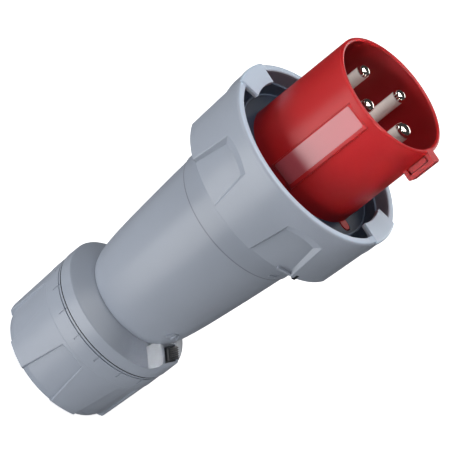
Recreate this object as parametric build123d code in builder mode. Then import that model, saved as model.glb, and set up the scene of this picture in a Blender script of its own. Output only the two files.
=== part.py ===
from build123d import *
import os
from math import cos, hypot, radians, sin

# Industrial pin and sleeve plug, 63 A class, three phases and earth, water tight.
# Millimetres, +Z up. The plug stands on the rear face of its cap nut, with the pins up.
# Z = 0 is that rear face and the Z axis is the plug's axis. The key on the red shroud
# points along +X. Angles are degrees from it, anticlockwise seen from the front.

# Heights, stacked from the rear face up
nut_length = 48.1
rim_groove = 0.7
rim_thickness = 1.3
nut_gap = 0.4
flange_edge = 9.0
flange_rise = 7.5
taper_length = 87.7
sleeve_length = 22.8
ring_length = 41.3
nose_height = 30.5
shroud_length = 69.5

# Gaps, small roundings and cutter sizes that several pieces share
fit_gap = 0.3
face_gap = 0.1
thread_gap = 0.04
overlap = 0.5
fine_round = 0.3
cutter_reach = 10.0
wedge_sink = 12.0
wedge_rise = 8.0

# Housing: a rear shell that screws into a front collar
shroud_r = 39.0
insert_step = 1.0
insert_rim = 8.2
nose_wall = 1.2
nose_step = 2.4
bearing_step = 2.0
sleeve_step = 0.6
bearing_length = 11.3
head_rim = 9.0
head_thickness = 5.7
spigot_step = 1.6
spigot_wall = 3.0
spigot_length = 15.0
taper_draw = 11.2
taper_bulge_rise = 12.5
taper_bulge = 3.8
taper_waist_rise = 41.0
taper_waist = 7.2
shell_wall = 3.4
taper_base_lean = (0.6, 1.0)
taper_top_lean = (0.075, 1.0)
neck_step = 3.0
neck_wall = 4.7
thread_height = 0.8
neck_collar = 2.5
flange_rim = 8.5
seal_wall = 12.9
seal_shoulder_width = 4.5
seal_shoulder_thickness = 3.0
edge_break = 0.6
stop_count = 2
stop_height = 1.6
stop_half_angle = 4.0
stop_angle = 90.0

# Raised arrow on the sleeve
arrow_angle = -18.0
arrow_height = 4.0
arrow_length = 8.0
arrow_width = 3.6
mark_rise = 0.35

# Coupling ring
ring_gap = 0.6
ring_mouth_step = 1.0
ring_wall = 4.6
ring_draft = 1.2
ring_mouth_depth = 9.5
ring_rear_wall = 6.4
ring_rim_round = 1.8
ring_travel = 45.0
bearing_gap = 0.08
lug_reach = 8.4
lug_proud = 0.3
lug_thickness = 3.0
lug_rise = 1.2
lug_half_angle = 15.0
lug_ramp = 4.4
lug_round = 1.5
lug_angle = 12.5
lug_count = 2
recess_count = 6
recess_depth = 3.3
recess_front_half = 13.3
recess_rear_half = 17.9
recess_front_inset = 12.0
recess_side_draft = 0.9
recess_front_draft = 1.8
recess_round = 0.6
lip_angle = -37.5
lip_half_angle = 5.0
lip_height = 1.6
lip_inset = 0.6
retainer_thickness = 2.0
retainer_depth = 2.4
retainer_width = 5.2
retainer_gap_angle = 24.0
marker_angle = -29.0
marker_width = 2.4
marker_depth = 2.6
marker_length = 4.0
marker_proud = 1.0

# Contact insert: red moulding of shroud, partition, skirt and flange
shroud_wall = 2.8
rim_round = 1.3
partition_depth = 52.0
partition_thickness = 12.0
insert_flange_thickness = 6.0
skirt_length = 9.0
key_height = 6.5
key_width = 7.0
key_length = 19.5
key_wall = 2.5
key_pocket_depth = 1.6
key_panel_margin = 1.2
key_panel_rise = 0.9
key_round = 1.4
rib_height = 5.8
rib_width = 6.6
rib_gap = 0.9
pad_angle = -83.2
pad_width = 17.4
pad_front = 5.4
pad_length = 60.4
pad_rise = 0.2
pad_depth = 1.6
pad_round = 0.9

# Contacts: turned pins with a screw terminal at the rear
pin_offset = 20.0
phase_pin_d = 8.0
earth_pin_d = 10.0
pin_tip_depth = 3.5
pin_tip_round = 0.7
pin_root_growth = 0.5
pin_bore_gap = 0.2
shoulder_r = 8.6
shoulder_thickness = 2.0
barrel_r = 7.4
barrel_length = 43.0
barrel_chamfer = 0.8
wire_bore_r = 4.8
wire_bore_depth = 26.0
terminal_screw_r = 3.5
terminal_screw_height = 14.0
terminal_screw_start = 2.4
terminal_screw_length = 8.6
hex_socket_r = 2.3
hex_socket_depth = 3.0

# Inner carrier, its screw and the screws of the insert
carrier_thickness = 21.0
carrier_screw_r = 2.5
carrier_screw_bite = 6.0
carrier_head_r = 4.5
carrier_head_height = 4.0
insert_screw_count = 4
insert_screw_r = 1.9
insert_screw_head_r = 2.9
insert_screw_head = 3.2
insert_screw_bite = 9.5
slot_width = 1.0
slot_depth = 1.2

# Seals
gasket_thickness = 2.3
o_ring_r = 0.85
o_ring_depth = 4.0
cable_seal_length = 21.0
seal_groove_count = 3
seal_groove = 2.0
seal_groove_depth = 1.4

# Clamping cage and thrust ring
cage_flange_inset = 0.7
cage_flange_thickness = 3.0
cage_bore_step = 0.5
cage_base_height = 2.0
finger_count = 12
finger_slot = 2.0
thrust_side_gap = 0.68
thrust_bore_step = 1.5
thrust_thickness = 2.5

# Cap nut
nut_wall = 8.02
nut_draft = 1.9
nut_chamfer = 2.6
nut_chamfer_length = 2.0
nut_floor = 8.0
entry_step = 3.0
thread_clearance = 0.08
rim_groove_depth = 1.0
tick_count = 16
tick_angle = 4.8
tick_width = 0.9
tick_depth = 0.5
tick_length = 6.5
crown_count = 24
crown_width = 3.8
crown_depth = 2.2
panel_count = 6
panel_angle = 44.0
panel_length = 34.6
panel_front_half = 8.6
panel_rear_half = 14.4
panel_front_depth = 0.9
panel_rear_depth = 1.8
panel_side_draft = 0.5
panel_front_draft = 1.0
panel_round = 0.5
panel_lip_length = 4.6
panel_lip_depth = 2.0
band_start = 37.6
band_step = 0.25

# Nut lock on the rear flange
lock_angle = -5.0
lock_half_width = 7.4
lock_flank_run = 5.6
lock_height = 5.0
lock_end_round = 4.5
lock_side_wall = 1.5
lock_inner_inset = 2.4
lock_outer_inset = 1.5
lock_floor = 2.5
slider_travel = 1.6
slider_sink = 1.2
slider_rib_count = 6
slider_rib_height = 0.6
slider_rib_inset = 0.6
stem_depth = 3.9
stem_half_width = 1.5

# Radii worked out from the steps, walls and gaps
head_bore_r = shroud_r + insert_step
nose_bore_r = shroud_r + insert_rim
nose_r = nose_bore_r + nose_wall
bearing_r = nose_r - nose_step
sleeve_r = bearing_r - bearing_step
taper_top_r = sleeve_r - sleeve_step
taper_base_r = taper_top_r - taper_draw
spigot_r = head_bore_r + spigot_step
spigot_bore_r = spigot_r - spigot_wall
head_r = bearing_r + head_rim
ring_bore_r = head_r + ring_gap
ring_mouth_r = ring_bore_r + ring_mouth_step
ring_front_r = ring_mouth_r + ring_wall
ring_rear_r = ring_front_r - ring_draft
lip_r = ring_rear_r - lip_inset
recess_floor_r = ring_front_r - recess_depth
lug_inner_r = ring_mouth_r - lug_reach
lug_outer_r = ring_front_r + lug_proud
retainer_bore_r = bearing_r - retainer_depth
shroud_bore_r = shroud_r - shroud_wall
skirt_r = head_bore_r - fit_gap
insert_flange_r = nose_bore_r - fit_gap
insert_screw_offset = (shroud_r + nose_bore_r) / 2 - face_gap
neck_root_r = taper_base_r + neck_step
neck_r = neck_root_r + thread_height
seal_bore_r = neck_root_r - neck_wall
seal_r = seal_bore_r - face_gap
seal_shoulder_r = seal_bore_r - seal_shoulder_width
cable_hole_r = seal_r - seal_wall
flange_r = neck_r + flange_rim
nut_bore_r = neck_r + thread_clearance
nut_front_r = nut_bore_r + nut_wall
nut_rear_r = nut_front_r - nut_draft
nut_chamfer_r = nut_rear_r - nut_chamfer
cable_entry_r = cable_hole_r + entry_step
cage_flange_r = neck_root_r - cage_flange_inset
cage_bore_r = cable_hole_r + cage_bore_step
thrust_r = nut_bore_r - thrust_side_gap
thrust_bore_r = cable_hole_r + thrust_bore_step
groove_half = o_ring_r + face_gap
o_ring_circle = head_bore_r - o_ring_r - face_gap / 2
groove_r = o_ring_circle - o_ring_r
shell_o_ring_circle = spigot_r + thread_gap - o_ring_r - face_gap / 2
shell_groove_r = shell_o_ring_circle - o_ring_r

# Heights worked out from the stack
rim_base_z = nut_length + rim_groove
nut_top_z = rim_base_z + rim_thickness
flange_rear_z = nut_top_z + nut_gap
flange_edge_z = flange_rear_z + flange_edge
taper_base_z = flange_edge_z + flange_rise
taper_top_z = taper_base_z + taper_length
ring_rear_z = taper_top_z + sleeve_length
ring_rim_z = ring_rear_z + ring_length
nose_top_z = ring_rear_z + nose_height
shroud_top_z = nose_top_z + shroud_length
neck_end_z = nut_floor + face_gap + thrust_thickness + face_gap + cage_flange_thickness
thread_top_z = flange_rear_z - neck_collar
seal_top_z = flange_rear_z - seal_shoulder_thickness
seal_base_z = seal_top_z - cable_seal_length
head_rear_z = ring_rear_z + ring_rear_wall + fit_gap
head_front_z = head_rear_z + head_thickness
bearing_rear_z = head_rear_z - bearing_length
retainer_top_z = ring_rear_z - fit_gap
gasket_base_z = nose_top_z - fit_gap - gasket_thickness
shelf_z = gasket_base_z - insert_flange_thickness
spigot_end_z = taper_top_z + spigot_length
shell_o_ring_z = taper_top_z + o_ring_depth
skirt_end_z = shelf_z - skirt_length
partition_top_z = shroud_top_z - partition_depth
partition_rear_z = partition_top_z - partition_thickness
carrier_rear_z = partition_rear_z - carrier_thickness
pin_tip_z = shroud_top_z - pin_tip_depth
barrel_top_z = partition_rear_z - shoulder_thickness
barrel_end_z = barrel_top_z - barrel_length
terminal_screw_z = barrel_end_z + terminal_screw_height
lug_top_z = ring_rim_z + lug_rise
ledge_z = ring_rim_z - ring_mouth_depth
flange_slope = flange_rise / (flange_r - taper_base_r)

lock_inner_r = taper_base_r + lock_inner_inset
lock_outer_r = flange_r - lock_outer_inset
stem_outer_r = lock_outer_r - fit_gap
stem_inner_r = stem_outer_r - stem_depth

pin_names = ["pin_earth", "pin_phase_1", "pin_phase_2", "pin_phase_3"]
pin_angles = [number * 90.0 for number in range(4)]
pin_diameters = [earth_pin_d, phase_pin_d, phase_pin_d, phase_pin_d]

os.makedirs("parts", exist_ok=True)


def save(builder, name):
    builder.part.label = name
    export_step(builder.part, f"parts/{name}.step")


def polar(radius, angle):
    return (radius * cos(radians(angle)), radius * sin(radians(angle)))


def radial_plane(angle, distance):
    """A plane square to the radius at an angle: local X is level and local Y is up."""
    outwards = Vector(*polar(1, angle), 0)
    level = Vector(*polar(1, angle + 90), 0)
    return Plane(origin=outwards * distance, x_dir=level, z_dir=outwards)


def on_surface(edges, radius_at, reach=0.12):
    """The edges that lie on a surface of revolution, given by its radius at a height."""
    kept = []
    for edge in edges:
        points = [edge.position_at(share) for share in (0.05, 0.5, 0.95)]
        if all(abs(hypot(point.X, point.Y) - radius_at(point.Z)) < reach for point in points):
            kept.append(edge)
    return kept


def sector(inner_r, outer_r, low_z, high_z, half_angle, angle):
    """A ring sector between two radii, two heights and two radial planes."""
    with BuildPart() as piece:
        with BuildSketch(Plane.XZ):
            with Locations(((inner_r + outer_r) / 2, (low_z + high_z) / 2)):
                Rectangle(outer_r - inner_r, high_z - low_z)
        revolve(axis=Axis.Z, revolution_arc=2 * half_angle)
    return piece.part.rotate(Axis.Z, angle - half_angle)


def radial_block(inner_r, outer_r, low_z, high_z, half_width, angle):
    """A straight block that points outwards, between two radii and two heights."""
    with BuildPart() as piece:
        with BuildSketch(radial_plane(angle, inner_r)):
            with Locations((0, (low_z + high_z) / 2)):
                Rectangle(2 * half_width, high_z - low_z)
        extrude(amount=outer_r - inner_r)
    return piece.part


def grip_wedge(angle, surface_r, rear, front, side_draft, front_draft):
    """A panel that widens to the rear, with drafted sides. rear and front are
    (half width, height) where the panel meets the surface."""
    with BuildPart() as piece:
        for rise in (-wedge_sink, wedge_rise):
            with BuildSketch(radial_plane(angle, surface_r + rise)):
                with BuildLine():
                    rear_half = rear[0] + side_draft * rise
                    front_half = front[0] + side_draft * rise
                    front_z = front[1] + front_draft * rise
                    Polyline(
                        (-rear_half, rear[1]),
                        (rear_half, rear[1]),
                        (front_half, front_z),
                        (-front_half, front_z),
                        close=True,
                    )
                make_face()
        loft()
    return piece.part


def key_rib(gap, low_z, high_z):
    """The rib at the foot of the key, with a round outer end and a gap round it."""
    half_width = rib_width / 2 + gap
    centre_r = shroud_r + rib_height - rib_width / 2
    with BuildPart() as piece:
        with BuildSketch(Plane.XY.offset(low_z)):
            with Locations(((shroud_r - overlap + centre_r) / 2, 0)):
                Rectangle(centre_r - shroud_r + overlap, 2 * half_width)
            with Locations((centre_r, 0)):
                Circle(half_width)
        extrude(amount=high_z - low_z)
    return piece.part


def under_lock_top(piece, depth):
    """What lies at least a depth below the sloping top of the lock block."""
    across = Vector(*polar(flange_slope, lock_angle), 1)
    edge = Vector(*polar(flange_r, lock_angle), flange_edge_z + lock_height - depth)
    with BuildPart() as kept:
        add(piece)
        split(bisect_by=Plane(origin=edge, z_dir=across), keep=Keep.BOTTOM)
    return kept.part


# Raised block round the nut lock: it follows the slope of the flange, has sloping flanks
# and a round end that is flush with the flange's edge
block_inner_r = taper_base_r - 1.5
block_outer_r = flange_r + 3.0
block_spare = 1.0
block_low_z = flange_rear_z + edge_break
block_high_z = flange_edge_z + lock_height
with BuildPart() as lock_block:
    for distance in (block_inner_r, block_outer_r):
        top = block_high_z + flange_slope * (flange_r - distance) + block_spare
        top_half = lock_half_width - lock_flank_run * block_spare / lock_height
        with BuildSketch(radial_plane(lock_angle, distance)):
            with BuildLine():
                Polyline(
                    (-top_half - 2 * lock_flank_run, top - 2 * lock_height),
                    (top_half + 2 * lock_flank_run, top - 2 * lock_height),
                    (top_half, top),
                    (-top_half, top),
                    close=True,
                )
            make_face()
    loft()
    with BuildSketch(Plane.XZ):
        with BuildLine():
            block_inner_top = (block_inner_r, block_high_z + flange_slope * (flange_r - block_inner_r))
            FilletPolyline((flange_r, block_low_z), (flange_r, block_high_z), block_inner_top,
                           radius=lock_end_round)
            Polyline(block_inner_top, (block_inner_r, block_low_z), (flange_r, block_low_z))
        make_face()
    revolve(axis=Axis.Z, mode=Mode.INTERSECT)

lock_top_z = flange_edge_z + flange_slope * (flange_r - lock_inner_r) + lock_height
lock_floor_z = flange_rear_z + lock_floor
lock_pocket_half = lock_half_width - lock_side_wall
lock_pocket = radial_block(lock_inner_r, lock_outer_r, lock_floor_z, lock_top_z + lock_height,
                           lock_pocket_half, lock_angle)
stem_hole = radial_block(stem_inner_r - fit_gap, lock_outer_r, flange_rear_z - overlap,
                         lock_floor_z + overlap, stem_half_width + fit_gap, lock_angle)

# Raised arrow on the sleeve, for the turn that locks the plug
with BuildPart() as arrow_prism:
    with BuildSketch(radial_plane(arrow_angle, sleeve_r - overlap)):
        with Locations((0, taper_top_z + arrow_height)):
            Rectangle(arrow_length, arrow_width / 3)
        with BuildLine():
            head_start = arrow_length / 2 - arrow_width / 2
            Polyline(
                (head_start, taper_top_z + arrow_height - arrow_width / 2),
                (arrow_length / 2 + arrow_width / 2, taper_top_z + arrow_height),
                (head_start, taper_top_z + arrow_height + arrow_width / 2),
                close=True,
            )
        make_face()
    extrude(amount=overlap + 2)
with BuildPart() as arrow_shell:
    with BuildSketch(Plane.XY.offset(taper_top_z)):
        Circle(sleeve_r + mark_rise)
        Circle(sleeve_r - overlap / 2, mode=Mode.SUBTRACT)
    extrude(amount=sleeve_length)
turn_arrow = arrow_prism.part & arrow_shell.part

stops = [
    sector(bearing_r - overlap, bearing_r + stop_height, ring_rear_z + fit_gap,
           head_rear_z + overlap, stop_half_angle, stop_angle + number * 360 / stop_count)
    for number in range(stop_count)
]

# Rear shell: neck with the nut's thread, flange with the lock block, and the tapered body.
# Its spigot screws into the front collar
with BuildPart() as rear_shell:
    with BuildSketch(Plane.XZ):
        with BuildLine():
            taper_base = (taper_base_r, taper_base_z)
            taper_top = (taper_top_r, taper_top_z)
            Spline(
                taper_base,
                (taper_base_r + taper_bulge, taper_base_z + taper_bulge_rise),
                (taper_base_r + taper_waist, taper_base_z + taper_waist_rise),
                taper_top,
                tangents=[taper_base_lean, taper_top_lean],
            )
            Polyline(
                taper_top,
                (spigot_r, taper_top_z),
                (spigot_r, shell_o_ring_z - groove_half),
                (shell_groove_r, shell_o_ring_z - groove_half),
                (shell_groove_r, shell_o_ring_z + groove_half),
                (spigot_r, shell_o_ring_z + groove_half),
                (spigot_r, spigot_end_z - edge_break),
                (spigot_r - edge_break, spigot_end_z),
                (spigot_bore_r, spigot_end_z),
                (spigot_bore_r, taper_top_z),
                (taper_base_r - shell_wall, taper_base_z + shell_wall),
                (taper_base_r - shell_wall, flange_rear_z + seal_shoulder_thickness),
                (seal_shoulder_r, flange_rear_z),
                (seal_shoulder_r, seal_top_z),
                (seal_bore_r, seal_top_z),
                (seal_bore_r, neck_end_z),
                (neck_root_r - edge_break, neck_end_z),
                (neck_root_r, neck_end_z + edge_break),
                (neck_root_r, thread_top_z - thread_height),
                (neck_r, thread_top_z),
                (neck_r, flange_rear_z),
                (flange_r - edge_break, flange_rear_z),
                (flange_r, flange_rear_z + edge_break),
                (flange_r, flange_edge_z - edge_break),
                (flange_r - edge_break, flange_edge_z),
                taper_base,
            )
        make_face()
    revolve(axis=Axis.Z)
    add(lock_block.part)
    add([lock_pocket, stem_hole], mode=Mode.SUBTRACT)
save(rear_shell, "rear_shell")

# O-ring on the spigot
with BuildPart() as shell_o_ring:
    with BuildSketch(Plane.XZ):
        with Locations((shell_o_ring_circle, shell_o_ring_z)):
            Circle(o_ring_r)
    revolve(axis=Axis.Z)
save(shell_o_ring, "shell_o_ring")

# Front collar: sleeve, bearing and head for the coupling ring, and the nose that holds
# the insert and the face gasket
with BuildPart() as front_collar:
    with BuildSketch(Plane.XZ):
        with BuildLine():
            Polyline(
                (spigot_r + thread_gap, taper_top_z),
                (sleeve_r - fine_round, taper_top_z),
                (sleeve_r, taper_top_z + fine_round),
                (sleeve_r, bearing_rear_z - (bearing_r - sleeve_r)),
                (bearing_r, bearing_rear_z),
                (bearing_r, retainer_top_z - retainer_thickness - face_gap),
                (retainer_bore_r, retainer_top_z - retainer_thickness - face_gap),
                (retainer_bore_r, retainer_top_z + face_gap),
                (bearing_r, retainer_top_z + face_gap),
                (bearing_r, head_rear_z),
                (head_r, head_rear_z),
                (head_r, head_front_z - edge_break),
                (head_r - edge_break, head_front_z),
                (nose_r, head_front_z),
                (nose_r, nose_top_z - edge_break),
                (nose_r - edge_break, nose_top_z),
                (nose_bore_r, nose_top_z),
                (nose_bore_r, shelf_z),
                (head_bore_r, shelf_z),
                (head_bore_r, spigot_end_z + fit_gap),
                (spigot_r + thread_gap, spigot_end_z + fit_gap),
                close=True,
            )
        make_face()
    revolve(axis=Axis.Z)
    add(stops)
    with BuildSketch(Plane.XY.offset(shelf_z)):
        with PolarLocations(insert_screw_offset, insert_screw_count, start_angle=45):
            Circle(insert_screw_r + thread_gap)
    extrude(amount=-insert_screw_bite - fit_gap, mode=Mode.SUBTRACT)
    add(turn_arrow)
save(front_collar, "front_collar")

# Cutters for the six grip recesses of the coupling ring, with a round floor
with BuildPart() as recess_floor_ring:
    with BuildSketch(Plane.XY.offset(ring_rear_z - cutter_reach)):
        Circle(ring_front_r + cutter_reach)
        Circle(recess_floor_r, mode=Mode.SUBTRACT)
    extrude(amount=ring_length + 2 * cutter_reach)
recess_angles = [lug_angle + number * 360 / recess_count for number in range(recess_count)]
recess_slope = (recess_rear_half - recess_front_half) / (ring_length - recess_front_inset)
recesses = [
    recess_floor_ring.part & grip_wedge(
        angle,
        ring_rear_r,
        (recess_rear_half + recess_slope * 5, ring_rear_z - 5),
        (recess_front_half, ring_rim_z - recess_front_inset),
        recess_side_draft,
        recess_front_draft,
    )
    for angle in recess_angles
]
lug_angles = [lug_angle + number * 360 / lug_count for number in range(lug_count)]
lugs = []
for angle in lug_angles:
    with BuildPart() as lug:
        add(sector(lug_inner_r, lug_outer_r, lug_top_z - lug_thickness, lug_top_z,
                   lug_half_angle, angle))
        fillet(lug.edges().group_by(Axis.Z)[-1].sort_by(Edge.length)[-1], lug_round)
        fillet(lug.edges().group_by(Axis.Z)[-1].sort_by(Edge.length)[:-1], fine_round)
    lugs.append(lug.part)
# Each lug has a ramp on the side that leads when the ring is turned back
with BuildPart() as rim_band:
    with BuildSketch(Plane.XY.offset(ring_rim_z - 2)):
        Circle(ring_front_r - ring_rim_round / 2)
        Circle(ring_mouth_r, mode=Mode.SUBTRACT)
    extrude(amount=2 + lug_rise)
ramps = []
for angle in lug_angles:
    with BuildPart() as ramp:
        with BuildSketch(radial_plane(angle - lug_half_angle, ring_mouth_r - 5)):
            with BuildLine():
                Polyline((-lug_ramp, ring_rim_z), (1, lug_top_z), (1, ring_rim_z - 1),
                         (-lug_ramp, ring_rim_z - 1), close=True)
            make_face()
        extrude(amount=ring_wall + 2 * lug_reach)
    ramps.append(ramp.part & rim_band.part)
ring_slope = (ring_front_r - ring_rear_r) / ring_length


def ring_outside(height):
    return ring_rear_r + ring_slope * (height - ring_rear_z)


stop_slot_half = (ring_travel + 2 * stop_half_angle) / 2 + 1.0
stop_slots = [
    sector(bearing_r - overlap, bearing_r + stop_height + fit_gap, ring_rear_z - overlap,
           ring_rear_z + ring_rear_wall + overlap, stop_slot_half,
           stop_angle - ring_travel / 2 + number * 360 / stop_count)
    for number in range(stop_count)
]
rear_lip = sector(ring_bore_r + overlap, lip_r, ring_rear_z, ring_rear_z + lip_height,
                  lip_half_angle, lip_angle)
marker_r = ring_rear_r - face_gap
marker_slot = radial_block(marker_r - marker_depth, marker_r + 2, ring_rear_z - overlap,
                           ring_rear_z + marker_length - marker_proud, marker_width / 2,
                           marker_angle)

# Coupling ring: turns on the collar, its two lugs lock behind the socket's ramps
with BuildPart() as coupling_ring:
    with BuildSketch(Plane.XZ):
        with BuildLine():
            rim = FilletPolyline(
                (ring_rear_r - 1, ring_rear_z),
                (ring_rear_r, ring_rear_z),
                (ring_front_r, ring_rim_z),
                (ring_front_r - 3, ring_rim_z),
                radius=[edge_break, ring_rim_round],
            )
            Polyline(
                rim @ 1,
                (ring_mouth_r + edge_break, ring_rim_z),
                (ring_mouth_r, ring_rim_z - edge_break),
                (ring_mouth_r, ledge_z),
                (ring_bore_r, ledge_z - (ring_mouth_r - ring_bore_r) / 2),
                (ring_bore_r, ring_rear_z + ring_rear_wall),
                (bearing_r + bearing_gap, ring_rear_z + ring_rear_wall),
                (bearing_r + bearing_gap, ring_rear_z),
                rim @ 0,
            )
        make_face()
    revolve(axis=Axis.Z)
    add(lugs)
    add(ramps)
    add(recesses, mode=Mode.SUBTRACT)
    fillet(on_surface(coupling_ring.edges(Select.LAST), ring_outside), recess_round)
    add(rear_lip)
    add(stop_slots, mode=Mode.SUBTRACT)
    add(marker_slot, mode=Mode.SUBTRACT)
save(coupling_ring, "coupling_ring")

# Index marker: small plug in the rear edge of the ring
with BuildPart() as index_marker:
    add(radial_block(marker_r - marker_depth, marker_r, ring_rear_z - marker_proud,
                     ring_rear_z + marker_length - marker_proud, marker_width / 2,
                     marker_angle))
save(index_marker, "index_marker")

# Retaining ring: split spring ring in the collar's groove, behind the coupling ring
retainer_gap = sector(retainer_bore_r - 1, bearing_r + retainer_width,
                      retainer_top_z - retainer_thickness - 1, retainer_top_z + 1,
                      retainer_gap_angle / 2, 180)
with BuildPart() as ring_retainer:
    with BuildSketch(Plane.XY.offset(retainer_top_z - retainer_thickness)):
        Circle(retainer_bore_r + face_gap + retainer_width)
        Circle(retainer_bore_r + face_gap, mode=Mode.SUBTRACT)
    extrude(amount=retainer_thickness)
    add(retainer_gap, mode=Mode.SUBTRACT)
save(ring_retainer, "ring_retainer")

# The key of the shroud, a hollow-sided block flush with the rim
key_base_z = shroud_top_z - key_length
key_r = shroud_r + key_height
key_half = key_width / 2
pocket_low_z = key_base_z + key_wall
pocket_high_z = shroud_top_z - key_wall
pocket_outer_r = key_r - key_wall
with BuildPart() as shroud_key:
    with BuildSketch(Plane.XZ.offset(-key_half)):
        with Locations((shroud_r + key_height / 2 - 1, shroud_top_z - key_length / 2)):
            Rectangle(key_height + 2, key_length)
    extrude(amount=key_width)
    fillet(shroud_key.edges().filter_by(Axis.Y).group_by(Axis.X)[-1], key_round)
    for side in (-1, 1):
        with BuildSketch(Plane.XZ.offset(-side * key_half)):
            with Locations(((shroud_r + pocket_outer_r) / 2 - 1, (pocket_low_z + pocket_high_z) / 2)):
                Rectangle(pocket_outer_r - shroud_r + 2, pocket_high_z - pocket_low_z)
        extrude(amount=side * key_pocket_depth, mode=Mode.SUBTRACT)
        with BuildSketch(Plane.XZ.offset(-side * (key_half - key_pocket_depth))):
            with Locations(((shroud_r + pocket_outer_r) / 2, (pocket_low_z + pocket_high_z) / 2)):
                Rectangle(pocket_outer_r - shroud_r - key_panel_margin,
                          pocket_high_z - pocket_low_z - 2 * key_panel_margin)
        extrude(amount=-side * key_panel_rise)

# Raised flat pad on the shroud's side
with BuildPart() as label_pad:
    pad_middle_z = shroud_top_z - pad_front - pad_length / 2
    with BuildSketch(radial_plane(pad_angle, shroud_r + pad_rise - pad_depth)):
        with Locations((0, pad_middle_z)):
            Rectangle(pad_width, pad_length)
    extrude(amount=pad_depth)
    outer_face = label_pad.faces().sort_by(Axis((0, 0, 0), (*polar(1, pad_angle), 0)))[-1]
    fillet(outer_face.edges(), pad_round)

# Contact insert: the red moulding
with BuildPart() as contact_insert:
    with BuildSketch(Plane.XZ):
        with BuildLine():
            Polyline(
                (0, partition_top_z),
                (shroud_bore_r, partition_top_z),
                (shroud_bore_r, shroud_top_z - rim_round),
            )
            JernArc((shroud_bore_r, shroud_top_z - rim_round), (0, 1), rim_round, -90)
            Line((shroud_bore_r + rim_round, shroud_top_z), (shroud_r - rim_round, shroud_top_z))
            JernArc((shroud_r - rim_round, shroud_top_z), (1, 0), rim_round, -90)
            o_ring_z = shelf_z - o_ring_depth
            Polyline(
                (shroud_r, shroud_top_z - rim_round),
                (shroud_r, gasket_base_z),
                (insert_flange_r, gasket_base_z),
                (insert_flange_r, shelf_z),
                (skirt_r, shelf_z),
                (skirt_r, o_ring_z + groove_half),
                (groove_r, o_ring_z + groove_half),
                (groove_r, o_ring_z - groove_half),
                (skirt_r, o_ring_z - groove_half),
                (skirt_r, skirt_end_z),
                (shroud_bore_r, skirt_end_z),
                (shroud_bore_r, partition_rear_z),
                (0, partition_rear_z),
                (0, partition_top_z),
            )
        make_face()
    revolve(axis=Axis.Z)
    add([shroud_key.part, label_pad.part, key_rib(0, gasket_base_z - overlap, nose_top_z)])
    with BuildSketch(Plane.XY.offset(partition_rear_z)):
        for angle, diameter in zip(pin_angles, pin_diameters):
            with Locations(polar(pin_offset, angle)):
                Circle(diameter / 2 + pin_root_growth + pin_bore_gap)
    extrude(amount=partition_thickness, mode=Mode.SUBTRACT)
    with BuildSketch(Plane.XY.offset(partition_rear_z)):
        Circle(carrier_screw_r + thread_gap)
    extrude(amount=carrier_screw_bite + fit_gap, mode=Mode.SUBTRACT)
    with BuildSketch(Plane.XY.offset(gasket_base_z)):
        with PolarLocations(insert_screw_offset, insert_screw_count, start_angle=45):
            Circle(insert_screw_head_r + face_gap)
    extrude(amount=-insert_screw_head, mode=Mode.SUBTRACT)
    with BuildSketch(Plane.XY.offset(shelf_z)):
        with PolarLocations(insert_screw_offset, insert_screw_count, start_angle=45):
            Circle(insert_screw_r + face_gap)
    extrude(amount=insert_flange_thickness, mode=Mode.SUBTRACT)
save(contact_insert, "contact_insert")

# Face gasket round the shroud, notched for the key's rib
with BuildPart() as face_gasket:
    with BuildSketch(Plane.XY.offset(gasket_base_z)):
        Circle(nose_bore_r - face_gap)
        Circle(shroud_r + face_gap, mode=Mode.SUBTRACT)
    extrude(amount=gasket_thickness)
    add(key_rib(rib_gap, gasket_base_z - overlap, nose_top_z), mode=Mode.SUBTRACT)
save(face_gasket, "face_gasket")

# O-ring between the insert's skirt and the collar
with BuildPart() as insert_o_ring:
    with BuildSketch(Plane.XZ):
        with Locations((o_ring_circle, shelf_z - o_ring_depth)):
            Circle(o_ring_r)
    revolve(axis=Axis.Z)
save(insert_o_ring, "insert_o_ring")

# Screws that hold the insert in the collar, under the gasket
with BuildPart() as insert_screws:
    with BuildSketch(Plane.XY.offset(gasket_base_z - insert_screw_head)):
        with PolarLocations(insert_screw_offset, insert_screw_count, start_angle=45):
            Circle(insert_screw_head_r)
    extrude(amount=insert_screw_head)
    with BuildSketch(Plane.XY.offset(gasket_base_z - insert_screw_head)):
        with PolarLocations(insert_screw_offset, insert_screw_count, start_angle=45):
            Circle(insert_screw_r)
    extrude(amount=-(insert_flange_thickness - insert_screw_head) - insert_screw_bite)
    with BuildSketch(Plane.XY.offset(gasket_base_z)):
        with PolarLocations(insert_screw_offset, insert_screw_count, start_angle=45):
            Rectangle(2 * insert_screw_head_r, slot_width)
    extrude(amount=-slot_depth, mode=Mode.SUBTRACT)
save(insert_screws, "insert_screws")

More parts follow.
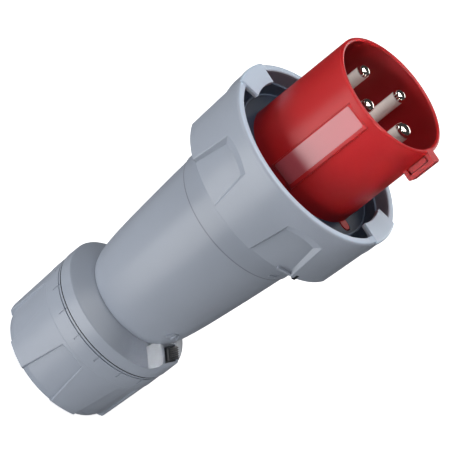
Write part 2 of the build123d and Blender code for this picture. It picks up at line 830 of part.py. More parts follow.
# Contact pins, each turned in one piece: domed pin, shoulder and screw terminal
for name, angle, diameter in zip(pin_names, pin_angles, pin_diameters):
    centre = polar(pin_offset, angle)
    with BuildPart() as pin:
        with BuildSketch(Plane.XY.offset(barrel_top_z)):
            with Locations(centre):
                Circle(diameter / 2)
        extrude(amount=pin_tip_z - barrel_top_z)
        tip_edges = pin.edges().group_by(Axis.Z)[-1]
        fillet(tip_edges, pin_tip_round * diameter / 2)
        with BuildSketch(Plane.XY.offset(barrel_top_z)):
            with Locations(centre):
                Circle(diameter / 2 + pin_root_growth)
        extrude(amount=partition_top_z - barrel_top_z)
        with BuildSketch(Plane.XY.offset(barrel_top_z)):
            with Locations(centre):
                Circle(shoulder_r)
        extrude(amount=shoulder_thickness)
        with BuildSketch(Plane.XY.offset(barrel_end_z)):
            with Locations(centre):
                Circle(barrel_r)
        extrude(amount=barrel_length)
        chamfer(pin.edges().group_by(Axis.Z)[0], barrel_chamfer)
        with BuildSketch(Plane.XY.offset(barrel_end_z)):
            with Locations(centre):
                Circle(wire_bore_r)
        extrude(amount=wire_bore_depth, mode=Mode.SUBTRACT)
        with BuildSketch(radial_plane(angle, pin_offset)):
            with Locations((0, terminal_screw_z)):
                Circle(terminal_screw_r + thread_gap)
        extrude(amount=barrel_r + 1, mode=Mode.SUBTRACT)
    save(pin, name)

# Terminal screws, one in the side of each contact
for name, angle in zip(pin_names, pin_angles):
    with BuildPart() as terminal_screw:
        with BuildSketch(radial_plane(angle, pin_offset + terminal_screw_start)):
            with Locations((0, terminal_screw_z)):
                Circle(terminal_screw_r)
        extrude(amount=terminal_screw_length)
        screw_end_r = pin_offset + terminal_screw_start + terminal_screw_length
        with BuildSketch(radial_plane(angle, screw_end_r)):
            with Locations((0, terminal_screw_z)):
                RegularPolygon(hex_socket_r, 6)
        extrude(amount=-hex_socket_depth, mode=Mode.SUBTRACT)
    save(terminal_screw, name.replace("pin", "terminal_screw"))

# Carrier that holds the contacts against the partition
with BuildPart() as pin_carrier:
    with BuildSketch(Plane.XY.offset(carrier_rear_z)):
        Circle(shroud_bore_r - fit_gap)
    extrude(amount=carrier_thickness)
    chamfer(pin_carrier.edges().group_by(Axis.Z)[0], barrel_chamfer)
    with BuildSketch(Plane.XY.offset(carrier_rear_z)):
        with PolarLocations(pin_offset, len(pin_names)):
            Circle(barrel_r + pin_bore_gap)
    extrude(amount=carrier_thickness, mode=Mode.SUBTRACT)
    with BuildSketch(Plane.XY.offset(partition_rear_z)):
        with PolarLocations(pin_offset, len(pin_names)):
            Circle(shoulder_r + pin_bore_gap)
    extrude(amount=-shoulder_thickness, mode=Mode.SUBTRACT)
    with BuildSketch(Plane.XY.offset(carrier_rear_z)):
        Circle(carrier_screw_r + face_gap)
    extrude(amount=carrier_thickness, mode=Mode.SUBTRACT)
save(pin_carrier, "pin_carrier")

# Screw that pulls the carrier up to the partition
with BuildPart() as carrier_screw:
    with BuildSketch(Plane.XY.offset(carrier_rear_z - carrier_head_height)):
        Circle(carrier_head_r)
    extrude(amount=carrier_head_height)
    with BuildSketch(Plane.XY.offset(carrier_rear_z)):
        Circle(carrier_screw_r)
    extrude(amount=carrier_thickness + carrier_screw_bite)
    with BuildSketch(Plane.XY.offset(carrier_rear_z - carrier_head_height)):
        RegularPolygon(hex_socket_r, 6)
    extrude(amount=carrier_head_height / 2, mode=Mode.SUBTRACT)
save(carrier_screw, "carrier_screw")

# Cable seal: ribbed rubber grommet in the rear shell's neck
seal_pitch = cable_seal_length / (seal_groove_count + 1)
with BuildPart() as cable_seal:
    with BuildSketch(Plane.XY.offset(seal_base_z)):
        Circle(seal_r)
        Circle(cable_hole_r, mode=Mode.SUBTRACT)
    extrude(amount=cable_seal_length)
    with BuildSketch(Plane.XZ):
        for number in range(seal_groove_count):
            with Locations((seal_r, seal_base_z + (number + 1) * seal_pitch)):
                Rectangle(2 * seal_groove_depth, seal_groove)
    revolve(axis=Axis.Z, mode=Mode.SUBTRACT)
save(cable_seal, "cable_seal")

# Clamping cage: flange under the neck's end, with fingers that press on the seal
cage_base_z = neck_end_z - cage_flange_thickness
with BuildPart() as clamping_cage:
    with BuildSketch(Plane.XY.offset(cage_base_z)):
        Circle(cage_flange_r)
    extrude(amount=cage_flange_thickness)
    with BuildSketch(Plane.XY.offset(neck_end_z)):
        Circle(seal_r)
    extrude(amount=seal_base_z - neck_end_z)
    with BuildSketch(Plane.XY.offset(cage_base_z)):
        Circle(cage_bore_r)
    extrude(amount=seal_base_z - cage_base_z, mode=Mode.SUBTRACT)
    with BuildSketch(Plane.XY.offset(neck_end_z + cage_base_height)):
        with PolarLocations((cage_bore_r + seal_r) / 2, finger_count):
            Rectangle(seal_r - cage_bore_r + 4, finger_slot)
    extrude(amount=seal_base_z - neck_end_z, mode=Mode.SUBTRACT)
save(clamping_cage, "clamping_cage")

# Thrust ring between the nut and the cage: it slides with the nut and doesn't turn
with BuildPart() as thrust_ring:
    with BuildSketch(Plane.XY.offset(nut_floor + face_gap)):
        Circle(thrust_r)
        Circle(thrust_bore_r, mode=Mode.SUBTRACT)
    extrude(amount=thrust_thickness)
save(thrust_ring, "thrust_ring")

# Cutters for the nut's six grip panels, with a conical floor and a sloping lip at the rear
with BuildPart() as panel_floor_ring:
    with BuildSketch(Plane.XZ):
        with BuildLine():
            nut_slope = (nut_front_r - nut_rear_r) / nut_length
            floor_slope = nut_slope + (panel_rear_depth - panel_front_depth) / panel_length
            Polyline(
                (nut_rear_r - panel_rear_depth + floor_slope * panel_lip_length, panel_lip_length),
                (nut_rear_r - panel_rear_depth - panel_lip_depth, -1),
                (nut_front_r + cutter_reach, -1),
                (nut_front_r + cutter_reach, nut_length),
                (nut_rear_r - panel_rear_depth + floor_slope * nut_length, nut_length),
                close=True,
            )
        make_face()
    revolve(axis=Axis.Z)


def nut_outside(height):
    return nut_rear_r + nut_slope * height


panel_spread = (panel_rear_half - panel_front_half) / panel_length
panels = [
    panel_floor_ring.part & grip_wedge(
        panel_angle + number * 360 / panel_count,
        nut_rear_r,
        (panel_rear_half + panel_spread, -1),
        (panel_front_half, panel_length),
        panel_side_draft,
        panel_front_draft,
    )
    for number in range(panel_count)
]
ticks = [
    radial_block(nut_front_r - tick_depth, nut_front_r + 2, nut_top_z - tick_length, nut_top_z + 1,
                 tick_width / 2, tick_angle + number * 360 / tick_count)
    for number in range(tick_count)
]
crown_notches = [
    radial_block(stem_inner_r - fit_gap, stem_outer_r + fit_gap, nut_top_z - crown_depth,
                 nut_top_z + 1, crown_width / 2, lock_angle + number * 360 / crown_count)
    for number in range(crown_count)
]

# Cap nut: screws on the rear shell's neck, with a notched front face for the lock
with BuildPart() as cap_nut:
    with BuildSketch(Plane.XZ):
        with BuildLine():
            groove_bottom_r = nut_front_r - rim_groove_depth
            Polyline(
                (cable_entry_r, 0),
                (nut_chamfer_r, 0),
                (nut_rear_r, nut_chamfer_length),
                (nut_outside(band_start), band_start),
                (nut_outside(band_start) + band_step, band_start + 2 * band_step),
                (nut_front_r, nut_length),
                (groove_bottom_r, nut_length),
                (groove_bottom_r, rim_base_z),
                (nut_front_r, rim_base_z),
                (nut_front_r, nut_top_z),
                (nut_bore_r, nut_top_z),
                (nut_bore_r, nut_floor),
                (cable_entry_r, nut_floor),
                close=True,
            )
        make_face()
    revolve(axis=Axis.Z)
    add(panels, mode=Mode.SUBTRACT)
    panel_rims = on_surface(cap_nut.edges(Select.LAST), nut_outside)
    fillet([edge for edge in panel_rims if edge.center().Z > nut_chamfer_length], panel_round)
    add(ticks, mode=Mode.SUBTRACT)
    add(crown_notches, mode=Mode.SUBTRACT)
save(cap_nut, "cap_nut")

# Lock slider: pushed back, its stem drops into a notch of the nut
slider_half = lock_pocket_half - fit_gap
slider_inner_r = lock_inner_r + fit_gap
slider_outer_r = lock_outer_r - fit_gap
slider_base_z = lock_floor_z + slider_travel + face_gap
rib_pitch = (slider_outer_r - slider_inner_r) / (slider_rib_count + 0.5)
slider_body = radial_block(slider_inner_r, slider_outer_r, slider_base_z, lock_top_z, slider_half,
                           lock_angle)
slider_stem = radial_block(stem_inner_r, stem_outer_r, nut_top_z + nut_gap / 2,
                           slider_base_z + overlap, stem_half_width, lock_angle)
with BuildPart() as lock_slider:
    add(under_lock_top(slider_body, slider_sink))
    add(slider_stem)
    for number in range(slider_rib_count):
        rib_inner_r = slider_inner_r + (number + 0.5) * rib_pitch
        rib = radial_block(rib_inner_r, rib_inner_r + rib_pitch / 2, slider_base_z + overlap,
                           lock_top_z, slider_half - slider_rib_inset, lock_angle)
        add(under_lock_top(rib, slider_sink - slider_rib_height))
save(lock_slider, "lock_slider")
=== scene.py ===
from math import atan, cos, pi, radians, sin

import bmesh
import bpy
from mathutils import Matrix, Vector


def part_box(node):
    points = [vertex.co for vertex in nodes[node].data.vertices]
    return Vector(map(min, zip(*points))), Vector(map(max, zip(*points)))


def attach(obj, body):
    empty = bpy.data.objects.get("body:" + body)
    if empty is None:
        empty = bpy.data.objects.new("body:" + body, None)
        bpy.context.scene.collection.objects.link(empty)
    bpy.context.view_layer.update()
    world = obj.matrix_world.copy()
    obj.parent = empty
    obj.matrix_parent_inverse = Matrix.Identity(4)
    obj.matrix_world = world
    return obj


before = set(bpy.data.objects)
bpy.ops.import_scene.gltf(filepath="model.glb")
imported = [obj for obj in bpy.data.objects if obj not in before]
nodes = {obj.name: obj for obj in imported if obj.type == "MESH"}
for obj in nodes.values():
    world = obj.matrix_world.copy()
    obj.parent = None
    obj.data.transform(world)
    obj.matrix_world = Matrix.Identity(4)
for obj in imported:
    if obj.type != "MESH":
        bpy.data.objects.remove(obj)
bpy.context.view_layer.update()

# Rear shell: the tapered body of the plug, with the neck that carries the nut's thread.
# Moulded in one piece from glass-filled polyamide, light grey with a faint blue cast and a
# fine spark-eroded grain. Its front end screws into the collar.


def moulded_plastic(name, colour, shade, gloss, grain, grain_depth, cloud=0.03):
    """A moulded plastic: two close tones in soft clouds, and a fine grain in relief and gloss."""
    material = bpy.data.materials.new(name)
    material.use_nodes = True
    tree = material.node_tree
    shader = tree.nodes["Principled BSDF"]
    place = tree.nodes.new("ShaderNodeTexCoord")

    clouds = tree.nodes.new("ShaderNodeTexNoise")
    clouds.inputs["Scale"].default_value = 1 / cloud
    clouds.inputs["Detail"].default_value = 5
    tones = tree.nodes.new("ShaderNodeMix")
    tones.data_type = "RGBA"
    tones.inputs["A"].default_value = (*colour, 1)
    tones.inputs["B"].default_value = (*[channel * shade for channel in colour], 1)
    tree.links.new(place.outputs["Object"], clouds.inputs["Vector"])
    tree.links.new(clouds.outputs["Fac"], tones.inputs["Factor"])
    tree.links.new(tones.outputs["Result"], shader.inputs["Base Color"])

    pits = tree.nodes.new("ShaderNodeTexNoise")
    pits.inputs["Scale"].default_value = 1 / grain
    pits.inputs["Detail"].default_value = 2
    relief = tree.nodes.new("ShaderNodeBump")
    relief.inputs["Distance"].default_value = grain_depth
    tree.links.new(place.outputs["Object"], pits.inputs["Vector"])
    tree.links.new(pits.outputs["Fac"], relief.inputs["Height"])
    tree.links.new(relief.outputs["Normal"], shader.inputs["Normal"])

    polish = tree.nodes.new("ShaderNodeMapRange")
    polish.inputs["To Min"].default_value = gloss[0]
    polish.inputs["To Max"].default_value = gloss[1]
    tree.links.new(pits.outputs["Fac"], polish.inputs["Value"])
    tree.links.new(polish.outputs["Result"], shader.inputs["Roughness"])
    return material


def finish_with(material, *names):
    """Puts one material on carried-over nodes."""
    for name in names:
        nodes[name].data.materials.clear()
        nodes[name].data.materials.append(material)


grey_plastic = moulded_plastic("grey_polyamide", colour=(0.345, 0.383, 0.452), shade=0.93,
                               gloss=(0.28, 0.4), grain=0.0007, grain_depth=0.00003)
finish_with(grey_plastic, "rear_shell")

# Thread of the neck: a blunt ridge of 4 mm pitch that winds round the rear shell's neck.
# It is moulded with the shell, and the cap nut runs on it.
neck_root_r = 0.0352
ridge_sink = 0.0001
ridge_height = 0.0008
ridge_foot = 0.0026
ridge_crest = 0.0012
thread_pitch = 0.004
thread_low_z = 0.0165
thread_turns = 7
steps_per_turn = 72
ridge_mesh = bmesh.new()
ridge_section = [
    ridge_mesh.verts.new((neck_root_r - ridge_sink, 0, thread_low_z - ridge_foot / 2)),
    ridge_mesh.verts.new((neck_root_r + ridge_height, 0, thread_low_z - ridge_crest / 2)),
    ridge_mesh.verts.new((neck_root_r + ridge_height, 0, thread_low_z + ridge_crest / 2)),
    ridge_mesh.verts.new((neck_root_r - ridge_sink, 0, thread_low_z + ridge_foot / 2)),
]
ridge_end = ridge_mesh.faces.new(ridge_section)
bmesh.ops.spin(
    ridge_mesh,
    geom=[ridge_end],
    cent=(0, 0, 0),
    axis=(0, 0, 1),
    dvec=(0, 0, thread_pitch / steps_per_turn),
    angle=thread_turns * 2 * pi,
    steps=thread_turns * steps_per_turn,
)
bmesh.ops.remove_doubles(ridge_mesh, verts=ridge_mesh.verts, dist=1e-7)
bmesh.ops.recalc_face_normals(ridge_mesh, faces=ridge_mesh.faces)


def new_piece(name, mesh, body, material, smooth_angle=40):
    """Makes a piece from a bmesh, smooth but for its sharp edges, and hangs it on its body."""
    data = bpy.data.meshes.new(name)
    mesh.to_mesh(data)
    mesh.free()
    data.shade_smooth()
    data.set_sharp_from_angle(angle=radians(smooth_angle))
    data.materials.append(material)
    piece = bpy.data.objects.new(name, data)
    bpy.context.scene.collection.objects.link(piece)
    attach(piece, body)


new_piece("neck_thread", ridge_mesh, "plug_body", grey_plastic)

# Dust ring: a thin flat ring of black rubber, glued to the rear face of the flange. It
# closes the gap in front of the cap nut.


def rubber(name, colour, gloss, bloom):
    """Black rubber with a fine matt grain and a pale bloom."""
    material = moulded_plastic(name, colour, shade=0.7, gloss=gloss, grain=0.0005,
                               grain_depth=0.00004, cloud=0.012)
    shader = material.node_tree.nodes["Principled BSDF"]
    shader.inputs["Sheen Weight"].default_value = bloom
    shader.inputs["Sheen Roughness"].default_value = 0.5
    return material


dust_ring_inner_r = 0.0432
dust_ring_outer_r = 0.04425
dust_ring_rear_z = 0.05015
dust_ring_front_z = 0.0505
dust_ring_steps = 180
dust_ring_mesh = bmesh.new()
dust_ring_section = [
    dust_ring_mesh.verts.new((dust_ring_inner_r, 0, dust_ring_rear_z)),
    dust_ring_mesh.verts.new((dust_ring_outer_r, 0, dust_ring_rear_z)),
    dust_ring_mesh.verts.new((dust_ring_outer_r, 0, dust_ring_front_z)),
    dust_ring_mesh.verts.new((dust_ring_inner_r, 0, dust_ring_front_z)),
]
dust_ring_face = dust_ring_mesh.faces.new(dust_ring_section)
bmesh.ops.spin(
    dust_ring_mesh,
    geom=[dust_ring_face, *dust_ring_face.edges, *dust_ring_section],
    cent=(0, 0, 0),
    axis=(0, 0, 1),
    angle=2 * pi,
    steps=dust_ring_steps,
    use_merge=True,
)
bmesh.ops.remove_doubles(dust_ring_mesh, verts=dust_ring_mesh.verts, dist=1e-6)
bmesh.ops.recalc_face_normals(dust_ring_mesh, faces=dust_ring_mesh.faces)
dust_rubber = rubber("dust_rubber", colour=(0.006, 0.008, 0.011), gloss=(0.4, 0.5), bloom=0.02)
new_piece("dust_ring", dust_ring_mesh, "plug_body", dust_rubber)

# Direction mark: three short raised bars, fanned out on the shell over the nut lock and
# moulded with the shell. They point out where the lock is.
bar_size = (0.0022, 0.0009, 0.0052)
bar_round = 0.00015
bar_r = 0.0366
bar_z = 0.083
bar_turns = (radians(-29), radians(-24), radians(-19))
bar_leans = (-0.6, 0.0, 0.6)
bars_mesh = bmesh.new()
for bar_turn, bar_lean in zip(bar_turns, bar_leans):
    bar = bmesh.ops.create_cube(bars_mesh, size=1)
    bmesh.ops.scale(bars_mesh, verts=bar["verts"], vec=bar_size)
    bmesh.ops.rotate(bars_mesh, verts=bar["verts"], cent=(0, 0, 0),
                     matrix=Matrix.Rotation(bar_lean, 3, "X"))
    bar_place = Matrix.Rotation(bar_turn, 4, "Z") @ Matrix.Translation((bar_r, 0, bar_z))
    bmesh.ops.transform(bars_mesh, matrix=bar_place, verts=bar["verts"])
bmesh.ops.bevel(bars_mesh, geom=bars_mesh.edges[:], offset=bar_round, offset_type="OFFSET",
                segments=2, profile=0.5, affect="EDGES", material=-1)
new_piece("direction_mark", bars_mesh, "plug_body", grey_plastic)

# Front collar: the sleeve, the bearing of the coupling ring and the nose round the insert.
# It is moulded from the same grey polyamide, and screws down on an O-ring on the spigot.
# Painted shade darkens its bearing and the inside of the coupling ring, and a thin band of
# painted shade lies at its joint with the shell.


def tone_between(material, radius, low_z, high_z, colour):
    """Gives a material another colour inside a radius and between two heights."""
    soft_edge = 0.0002
    low_soft_edge = 0.0003
    tree = material.node_tree
    shader = tree.nodes["Principled BSDF"]
    place = tree.nodes["Texture Coordinate"]
    flat = tree.nodes.new("ShaderNodeVectorMath")
    flat.operation = "MULTIPLY"
    flat.inputs[1].default_value = (1, 1, 0)
    reach = tree.nodes.new("ShaderNodeVectorMath")
    reach.operation = "LENGTH"
    parts = tree.nodes.new("ShaderNodeSeparateXYZ")
    tree.links.new(place.outputs["Object"], flat.inputs[0])
    tree.links.new(flat.outputs["Vector"], reach.inputs[0])
    tree.links.new(place.outputs["Object"], parts.inputs["Vector"])
    share = None
    for source, start, end in (
        (reach.outputs["Value"], radius + soft_edge, radius - soft_edge),
        (parts.outputs["Z"], low_z - low_soft_edge, low_z + low_soft_edge),
        (parts.outputs["Z"], high_z + soft_edge, high_z - soft_edge),
    ):
        edge = tree.nodes.new("ShaderNodeMapRange")
        edge.inputs["From Min"].default_value = start
        edge.inputs["From Max"].default_value = end
        tree.links.new(source, edge.inputs["Value"])
        if share is None:
            share = edge.outputs["Result"]
        else:
            both = tree.nodes.new("ShaderNodeMath")
            both.operation = "MULTIPLY"
            tree.links.new(share, both.inputs[0])
            tree.links.new(edge.outputs["Result"], both.inputs[1])
            share = both.outputs["Value"]
    toned = tree.nodes.new("ShaderNodeMix")
    toned.data_type = "RGBA"
    toned.inputs["B"].default_value = (*colour, 1)
    tree.links.new(share, toned.inputs["Factor"])
    tree.links.new(shader.inputs["Base Color"].links[0].from_socket, toned.inputs["A"])
    tree.links.new(toned.outputs["Result"], shader.inputs["Base Color"])


# Painted shade: a darker grey inside this radius, on the bearing and the inside of the coupling
# ring.
painted_shade_r = 0.0565
bearing_low_z = 0.183
bearing_high_z = 0.2168
joint_low_z = 0.1545
joint_high_z = 0.1556
grey_painted_shade_and_light = grey_plastic.copy()
grey_painted_shade_and_light.name = "grey_polyamide_painted_shade_and_light"
tone_between(grey_painted_shade_and_light, painted_shade_r, bearing_low_z, bearing_high_z, colour=(0.11, 0.15, 0.215))
# Painted shade: a thin darker band at the step where the collar meets the shell.
tone_between(grey_painted_shade_and_light, painted_shade_r, joint_low_z, joint_high_z, colour=(0.2, 0.22, 0.265))
finish_with(grey_painted_shade_and_light, "front_collar")
black_rubber = rubber("black_rubber", colour=(0.022, 0.036, 0.064), gloss=(0.34, 0.48), bloom=0.03)
finish_with(black_rubber, "shell_o_ring")

# Coupling ring: turned by hand, it pulls the plug into the socket with its two lugs.
# Grey polyamide again, with painted shade inside, six grip recesses and a painted highlight
# that makes its front rim paler.
# The black index marker is pressed into its rear edge.
# Painted highlight: a paler, bluer grey on the front rim of the coupling ring, where light falls
# from above.
past_ring_r = 0.07
rim_low_z = 0.2184
rim_high_z = 0.24
tone_between(grey_painted_shade_and_light, past_ring_r, rim_low_z, rim_high_z, colour=(0.52, 0.62, 0.735))
finish_with(grey_painted_shade_and_light, "coupling_ring")
black_plastic = moulded_plastic("black_polyamide", colour=(0.01, 0.0125, 0.018), shade=0.8,
                                gloss=(0.3, 0.45), grain=0.0006, grain_depth=0.00003)
finish_with(black_plastic, "index_marker")

# Ring retainer: a split ring of flat spring steel, snapped into the collar's groove so
# that the coupling ring can't come off to the rear.


def brushed_steel(name, colour, gloss, line, line_depth):
    """Bare metal with fine lines across the axis, as turning and rolling leave them."""
    drawn_out = 0.03
    shade = 0.82
    material = bpy.data.materials.new(name)
    material.use_nodes = True
    tree = material.node_tree
    shader = tree.nodes["Principled BSDF"]
    shader.inputs["Metallic"].default_value = 1
    place = tree.nodes.new("ShaderNodeTexCoord")
    stretch = tree.nodes.new("ShaderNodeMapping")
    stretch.inputs["Scale"].default_value = (drawn_out / line, drawn_out / line, 1 / line)
    marks = tree.nodes.new("ShaderNodeTexNoise")
    marks.inputs["Scale"].default_value = 1
    marks.inputs["Detail"].default_value = 4
    tree.links.new(place.outputs["Object"], stretch.inputs["Vector"])
    tree.links.new(stretch.outputs["Vector"], marks.inputs["Vector"])

    tones = tree.nodes.new("ShaderNodeMix")
    tones.data_type = "RGBA"
    tones.inputs["A"].default_value = (*colour, 1)
    tones.inputs["B"].default_value = (*[channel * shade for channel in colour], 1)
    tree.links.new(marks.outputs["Fac"], tones.inputs["Factor"])
    tree.links.new(tones.outputs["Result"], shader.inputs["Base Color"])

    polish = tree.nodes.new("ShaderNodeMapRange")
    polish.inputs["To Min"].default_value = gloss[0]
    polish.inputs["To Max"].default_value = gloss[1]
    tree.links.new(marks.outputs["Fac"], polish.inputs["Value"])
    tree.links.new(polish.outputs["Result"], shader.inputs["Roughness"])

    relief = tree.nodes.new("ShaderNodeBump")
    relief.inputs["Distance"].default_value = line_depth
    tree.links.new(marks.outputs["Fac"], relief.inputs["Height"])
    tree.links.new(relief.outputs["Normal"], shader.inputs["Normal"])
    return material


plated_steel = brushed_steel("zinc_plated_steel", colour=(0.5, 0.5, 0.51), gloss=(0.28, 0.5),
                             line=0.0004, line_depth=0.00002)
finish_with(plated_steel, "ring_retainer")

# Contact insert: shroud, partition, key and flange in one red polyamide moulding, with a
# darker red painted inside the shroud as painted shade. It drops into the collar from the
# front, and four screws under the gasket hold it.
shroud_inside_r = 0.0374
shroud_inside_low_z = 0.2252
shroud_inside_high_z = 0.2768
red_plastic = moulded_plastic("red_polyamide", colour=(0.43, 0.012, 0.014), shade=0.9,
                              gloss=(0.3, 0.42), grain=0.0006, grain_depth=0.000025)
red_plastic.node_tree.nodes["Principled BSDF"].inputs["Specular IOR Level"].default_value = 0.34
# Painted shade: a darker red on the inside wall of the shroud.
tone_between(red_plastic, shroud_inside_r, shroud_inside_low_z, shroud_inside_high_z,
             colour=(0.23, 0.008, 0.01))
finish_with(red_plastic, "contact_insert")
finish_with(black_rubber, "insert_o_ring", "face_gasket")
finish_with(plated_steel, "insert_screws")

# Rating plate: a bare, polished plastic plate, glued on the flat pad on the shroud's side.
# It is of a paler red, with a lacquer that shines where the moulding is satin.
lacquered_red = moulded_plastic("lacquered_red", colour=(0.42, 0.065, 0.08), shade=0.9,
                                gloss=(0.2, 0.28), grain=0.002, grain_depth=0.000003)
lacquer = lacquered_red.node_tree.nodes["Principled BSDF"]
lacquer.inputs["Coat Weight"].default_value = 1
lacquer.inputs["Coat IOR"].default_value = 1.55
lacquer.inputs["Coat Roughness"].default_value = 0.28
plate_angle = radians(-83.2)
plate_half_width = 0.0069
plate_half_length = 0.0291
plate_half_thickness = 0.00015
plate_corner_r = 0.0012
plate_shift = -0.0008
plate_seat_r = 0.0392
plate_middle_z = 0.2419
plate_mesh = bmesh.new()
bmesh.ops.create_cube(plate_mesh, size=1)
bmesh.ops.scale(plate_mesh, verts=plate_mesh.verts,
                vec=(2 * plate_half_width, 2 * plate_half_thickness, 2 * plate_half_length))
plate_uprights = [edge for edge in plate_mesh.edges
                  if abs(edge.verts[0].co.y - edge.verts[1].co.y) > plate_half_thickness]
bmesh.ops.bevel(plate_mesh, geom=plate_uprights, offset=plate_corner_r, offset_type="OFFSET",
                segments=5, profile=0.5, affect="EDGES", material=-1)
bmesh.ops.translate(plate_mesh, verts=plate_mesh.verts, vec=(plate_shift, 0, 0))
plate_place = Matrix.Rotation(plate_angle + pi / 2, 4, "Z")
plate_place.translation = (plate_seat_r * cos(plate_angle), plate_seat_r * sin(plate_angle),
                           plate_middle_z)
bmesh.ops.transform(plate_mesh, matrix=plate_place, verts=plate_mesh.verts)
bmesh.ops.recalc_face_normals(plate_mesh, faces=plate_mesh.faces)
new_piece("rating_plate", plate_mesh, "plug_body", lacquered_red)

# Contact pins: one earth pin and three thinner phase pins, turned from brass and nickel
# plated, satin on the shafts and polished on the domed tips. A shoulder of each rests
# behind the red partition.


def bright_above(material, height):
    """Turns a satin metal to a polished one above a height."""
    soft_edge = 0.0006
    tree = material.node_tree
    shader = tree.nodes["Principled BSDF"]
    parts = tree.nodes.new("ShaderNodeSeparateXYZ")
    tree.links.new(tree.nodes["Texture Coordinate"].outputs["Object"], parts.inputs["Vector"])
    satin = shader.inputs["Roughness"].links[0].from_socket
    changes = {}
    for socket, polished in (("Metallic", 1.0), ("Roughness", 0.06)):
        changes[socket] = tree.nodes.new("ShaderNodeMapRange")
        changes[socket].inputs["From Min"].default_value = height - soft_edge
        changes[socket].inputs["From Max"].default_value = height + soft_edge
        changes[socket].inputs["To Max"].default_value = polished
        tree.links.new(parts.outputs["Z"], changes[socket].inputs["Value"])
        tree.links.new(changes[socket].outputs["Result"], shader.inputs[socket])
    changes["Metallic"].inputs["To Min"].default_value = 0.22
    tree.links.new(satin, changes["Roughness"].inputs["To Min"])


polished_tip = 0.0038
for pin in ("pin_earth", "pin_phase_1", "pin_phase_2", "pin_phase_3"):
    nickel = brushed_steel("nickel_" + pin, colour=(0.97, 0.9, 0.84), gloss=(0.12, 0.22),
                           line=0.0004, line_depth=0.00003)
    bright_above(nickel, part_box(pin)[1].z - polished_tip)
    finish_with(nickel, pin)

# Carrier, its screw and the terminal screws: the pale moulding holds the four contacts
# against the partition, and a screw in the side of each contact grips its wire.
pale_plastic = moulded_plastic("natural_polyamide", colour=(0.55, 0.55, 0.52), shade=0.94,
                               gloss=(0.35, 0.5), grain=0.0007, grain_depth=0.00003)
finish_with(pale_plastic, "pin_carrier")
finish_with(plated_steel, "carrier_screw", "terminal_screw_earth", "terminal_screw_phase_1",
            "terminal_screw_phase_2", "terminal_screw_phase_3")

# Cable seal, clamping cage and thrust ring: the nut drives the ring against the cage, and
# its fingers press the ribbed rubber seal on the cable.
finish_with(black_rubber, "cable_seal")
finish_with(pale_plastic, "clamping_cage", "thrust_ring")

# Cap nut: closes the gland at the rear of the plug. Grey polyamide, with six grip panels
# and sixteen ticks on its rim, which show how far it is turned.
finish_with(grey_plastic, "cap_nut")

# Lock slider: a small black block in the pocket of the flange. Pushed back, its stem drops
# into a notch of the nut and keeps it from turning.
finish_with(black_plastic, "lock_slider")

# Grip of the lock slider: a ribbed black cap on the slider, which stands proud of the pocket
# so that a thumb can push it. It is moulded with the slider.
grip_size = (0.0078, 0.0098, 0.004)
grip_round = 0.0004
grip_shift = -0.0003
grip_lift = 0.0008
rib_size = (0.00055, 0.0088, 0.0012)
rib_lift = 0.0029
rib_spacing = 0.00122
rib_count = 6
grip_r = 0.0388
grip_z = 0.0672
grip_turn = radians(-5)
grip_lean = radians(31)
grip_mesh = bmesh.new()
grip_cap = bmesh.ops.create_cube(grip_mesh, size=1)
bmesh.ops.scale(grip_mesh, verts=grip_cap["verts"], vec=grip_size)
bmesh.ops.translate(grip_mesh, verts=grip_cap["verts"], vec=(grip_shift, 0, grip_lift))
bmesh.ops.bevel(grip_mesh, geom=grip_mesh.edges[:], offset=grip_round, offset_type="OFFSET",
                segments=3, profile=0.5, affect="EDGES", material=-1)
for number in range(rib_count):
    rib_shift = rib_spacing * (number - (rib_count - 1) / 2) + grip_shift
    rib = bmesh.ops.create_cube(grip_mesh, size=1)
    bmesh.ops.scale(grip_mesh, verts=rib["verts"], vec=rib_size)
    bmesh.ops.translate(grip_mesh, verts=rib["verts"], vec=(rib_shift, 0, rib_lift))
grip_place = Matrix.Rotation(grip_turn, 4, "Z") @ Matrix.Translation((grip_r, 0, grip_z))
grip_place = grip_place @ Matrix.Rotation(grip_lean, 4, "Y")
bmesh.ops.transform(grip_mesh, matrix=grip_place, verts=grip_mesh.verts)
new_piece("slider_grip", grip_mesh, "lock_slider", black_plastic)

# Floor: a white table, under the plug as it stands on its nut. It looks as white as the
# room to the camera, and lets the light of the low lamps through.
floor_half = 9.0
floor_light = 0.85
floor_mesh = bmesh.new()
bmesh.ops.create_grid(floor_mesh, x_segments=1, y_segments=1, size=floor_half)
floor_data = bpy.data.meshes.new("floor")
floor_mesh.to_mesh(floor_data)
floor_mesh.free()
floor = bpy.data.objects.new("floor", floor_data)
bpy.context.scene.collection.objects.link(floor)
floor_white = bpy.data.materials.new("table_white")
floor_white.use_nodes = True
floor_tree = floor_white.node_tree
floor_shader = floor_tree.nodes["Principled BSDF"]
floor_shader.inputs["Base Color"].default_value = (0.8, 0.8, 0.8, 1)
floor_shader.inputs["Roughness"].default_value = 0.9
floor_shader.inputs["Emission Color"].default_value = (1, 1, 1, 1)
floor_rays = floor_tree.nodes.new("ShaderNodeLightPath")
floor_glow = floor_tree.nodes.new("ShaderNodeMath")
floor_glow.operation = "MULTIPLY"
floor_glow.inputs[1].default_value = floor_light
floor_tree.links.new(floor_rays.outputs["Is Camera Ray"], floor_glow.inputs[0])
floor_tree.links.new(floor_glow.outputs["Value"], floor_shader.inputs["Emission Strength"])
floor_data.materials.append(floor_white)
floor.visible_shadow = False
floor.visible_glossy = False

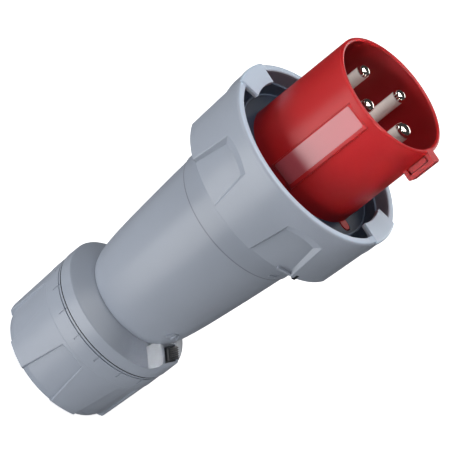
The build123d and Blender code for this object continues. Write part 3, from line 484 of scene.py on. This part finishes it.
# Surroundings: a white room to the camera, which hardly lights the plug. The lamps alone
# shape it.
room_light = 0.04
world = bpy.data.worlds.new("white_room")
bpy.context.scene.world = world
world.use_nodes = True
room_tree = world.node_tree
room = room_tree.nodes["Background"]
room.inputs["Color"].default_value = (1, 1, 1, 1)
room_rays = room_tree.nodes.new("ShaderNodeLightPath")
room_level = room_tree.nodes.new("ShaderNodeMapRange")
room_level.inputs["To Min"].default_value = room_light
room_level.inputs["To Max"].default_value = 1
room_tree.links.new(room_rays.outputs["Is Camera Ray"], room_level.inputs["Value"])
room_tree.links.new(room_level.outputs["Result"], room.inputs["Strength"])

# Lamps: soft boxes all round the plug, two of them low, as under a glass table, and one
# straight over the pins. They look at its middle. Four small shaded ones light the
# shroud's front and right side, the tips of the pins and the flank of the nut lock.
plug_middle = Vector((0, 0, 0.14))
shroud_top = Vector((0, 0, 0.28))
over_shroud = Vector((0, 0, 0.297))
pin_tips = Vector((0, 0, 0.262))
nut_lock = Vector((0.039, -0.013, 0.064))


def soft_box(name, aim, around, rise, size, power, distance=1.0, spread=180):
    """An area lamp at an angle round the plug and above what it is turned to."""
    data = bpy.data.lights.new(name, "AREA")
    data.spread = radians(spread)
    data.shape = "RECTANGLE"
    data.size, data.size_y = size
    data.energy = power
    lamp = bpy.data.objects.new(name, data)
    bpy.context.scene.collection.objects.link(lamp)
    level = distance * cos(radians(rise))
    lamp.location = aim + Vector((level * cos(radians(around)), level * sin(radians(around)),
                                  distance * sin(radians(rise))))
    lamp.rotation_euler = (aim - lamp.location).to_track_quat("-Z", "Y").to_euler()
    lamp.visible_camera = False


soft_box("low_left", plug_middle, around=-116, rise=-28, size=(0.6, 0.5), power=4.7)
soft_box("low_front", plug_middle, around=-88, rise=-28, size=(0.3, 0.5), power=1.9)
soft_box("left", plug_middle, around=-158, rise=8, size=(0.5, 0.5), power=2.4)
soft_box("right", plug_middle, around=-10, rise=8, size=(0.3, 0.5), power=1.6)
soft_box("back", plug_middle, around=85, rise=12, size=(0.7, 0.7), power=4.5, distance=1.3)
soft_box("high_left", plug_middle, around=-165, rise=66, size=(0.3, 0.3), power=1.4)
soft_box("high_middle", plug_middle, around=-130, rise=66, size=(0.2, 0.2), power=0.8)
soft_box("high_front", plug_middle, around=-80, rise=66, size=(0.3, 0.3), power=1.5)
soft_box("over_pins", plug_middle, around=-90, rise=88, size=(0.5, 0.5), power=3.0, distance=0.9)
soft_box("shroud_right", over_shroud, around=-52, rise=5, size=(0.12, 0.12), power=0.03,
         distance=0.8, spread=11)
soft_box("shroud_front", shroud_top, around=-95, rise=42, size=(0.15, 0.15), power=0.011,
         distance=0.8, spread=15)
soft_box("pins_left", pin_tips, around=-150, rise=60, size=(0.03, 0.03), power=0.0055,
         distance=0.5, spread=5)
soft_box("lock_flank", nut_lock, around=-29, rise=53, size=(0.03, 0.03), power=0.0011,
         distance=0.3, spread=8)

# Camera: on the photograph's view of the plug. It stands 2 m from the middle of the
# shroud's rim, which lies up and right of the picture's centre.
picture_side = 450
rim_in_picture = (391.5, 94.4)
focal_pixels = 3600
camera_distance = 2.0
camera_turn = radians(10)
camera_rise = radians(25.4)
camera_roll = radians(51.44)
rim_centre = Vector((0, 0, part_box("contact_insert")[1].z))
level_axis = Vector((cos(camera_turn), sin(camera_turn), 0))
back_axis = Vector((cos(camera_rise) * sin(camera_turn), -cos(camera_rise) * cos(camera_turn),
                    sin(camera_rise)))
upright_axis = back_axis.cross(level_axis)
right_axis = cos(camera_roll) * level_axis + sin(camera_roll) * upright_axis
up_axis = cos(camera_roll) * upright_axis - sin(camera_roll) * level_axis
aim_across = atan((rim_in_picture[0] - picture_side / 2) / focal_pixels)
aim_up = atan((picture_side / 2 - rim_in_picture[1]) / focal_pixels * cos(aim_across))
facing_rim = Matrix((right_axis, up_axis, back_axis))
turned = Matrix.Rotation(-aim_across, 3, "Y") @ Matrix.Rotation(aim_up, 3, "X") @ facing_rim
camera_data = bpy.data.cameras.new("camera")
camera_data.sensor_width = 36
camera_data.lens = camera_data.sensor_width * focal_pixels / picture_side
camera_data.clip_end = 50
camera = bpy.data.objects.new("camera", camera_data)
bpy.context.scene.collection.objects.link(camera)
camera_place = Matrix.Translation(rim_centre + camera_distance * back_axis)
camera.matrix_world = camera_place @ turned.transposed().to_4x4()
bpy.context.scene.camera = camera
bpy.context.scene.view_settings.view_transform = "Standard"
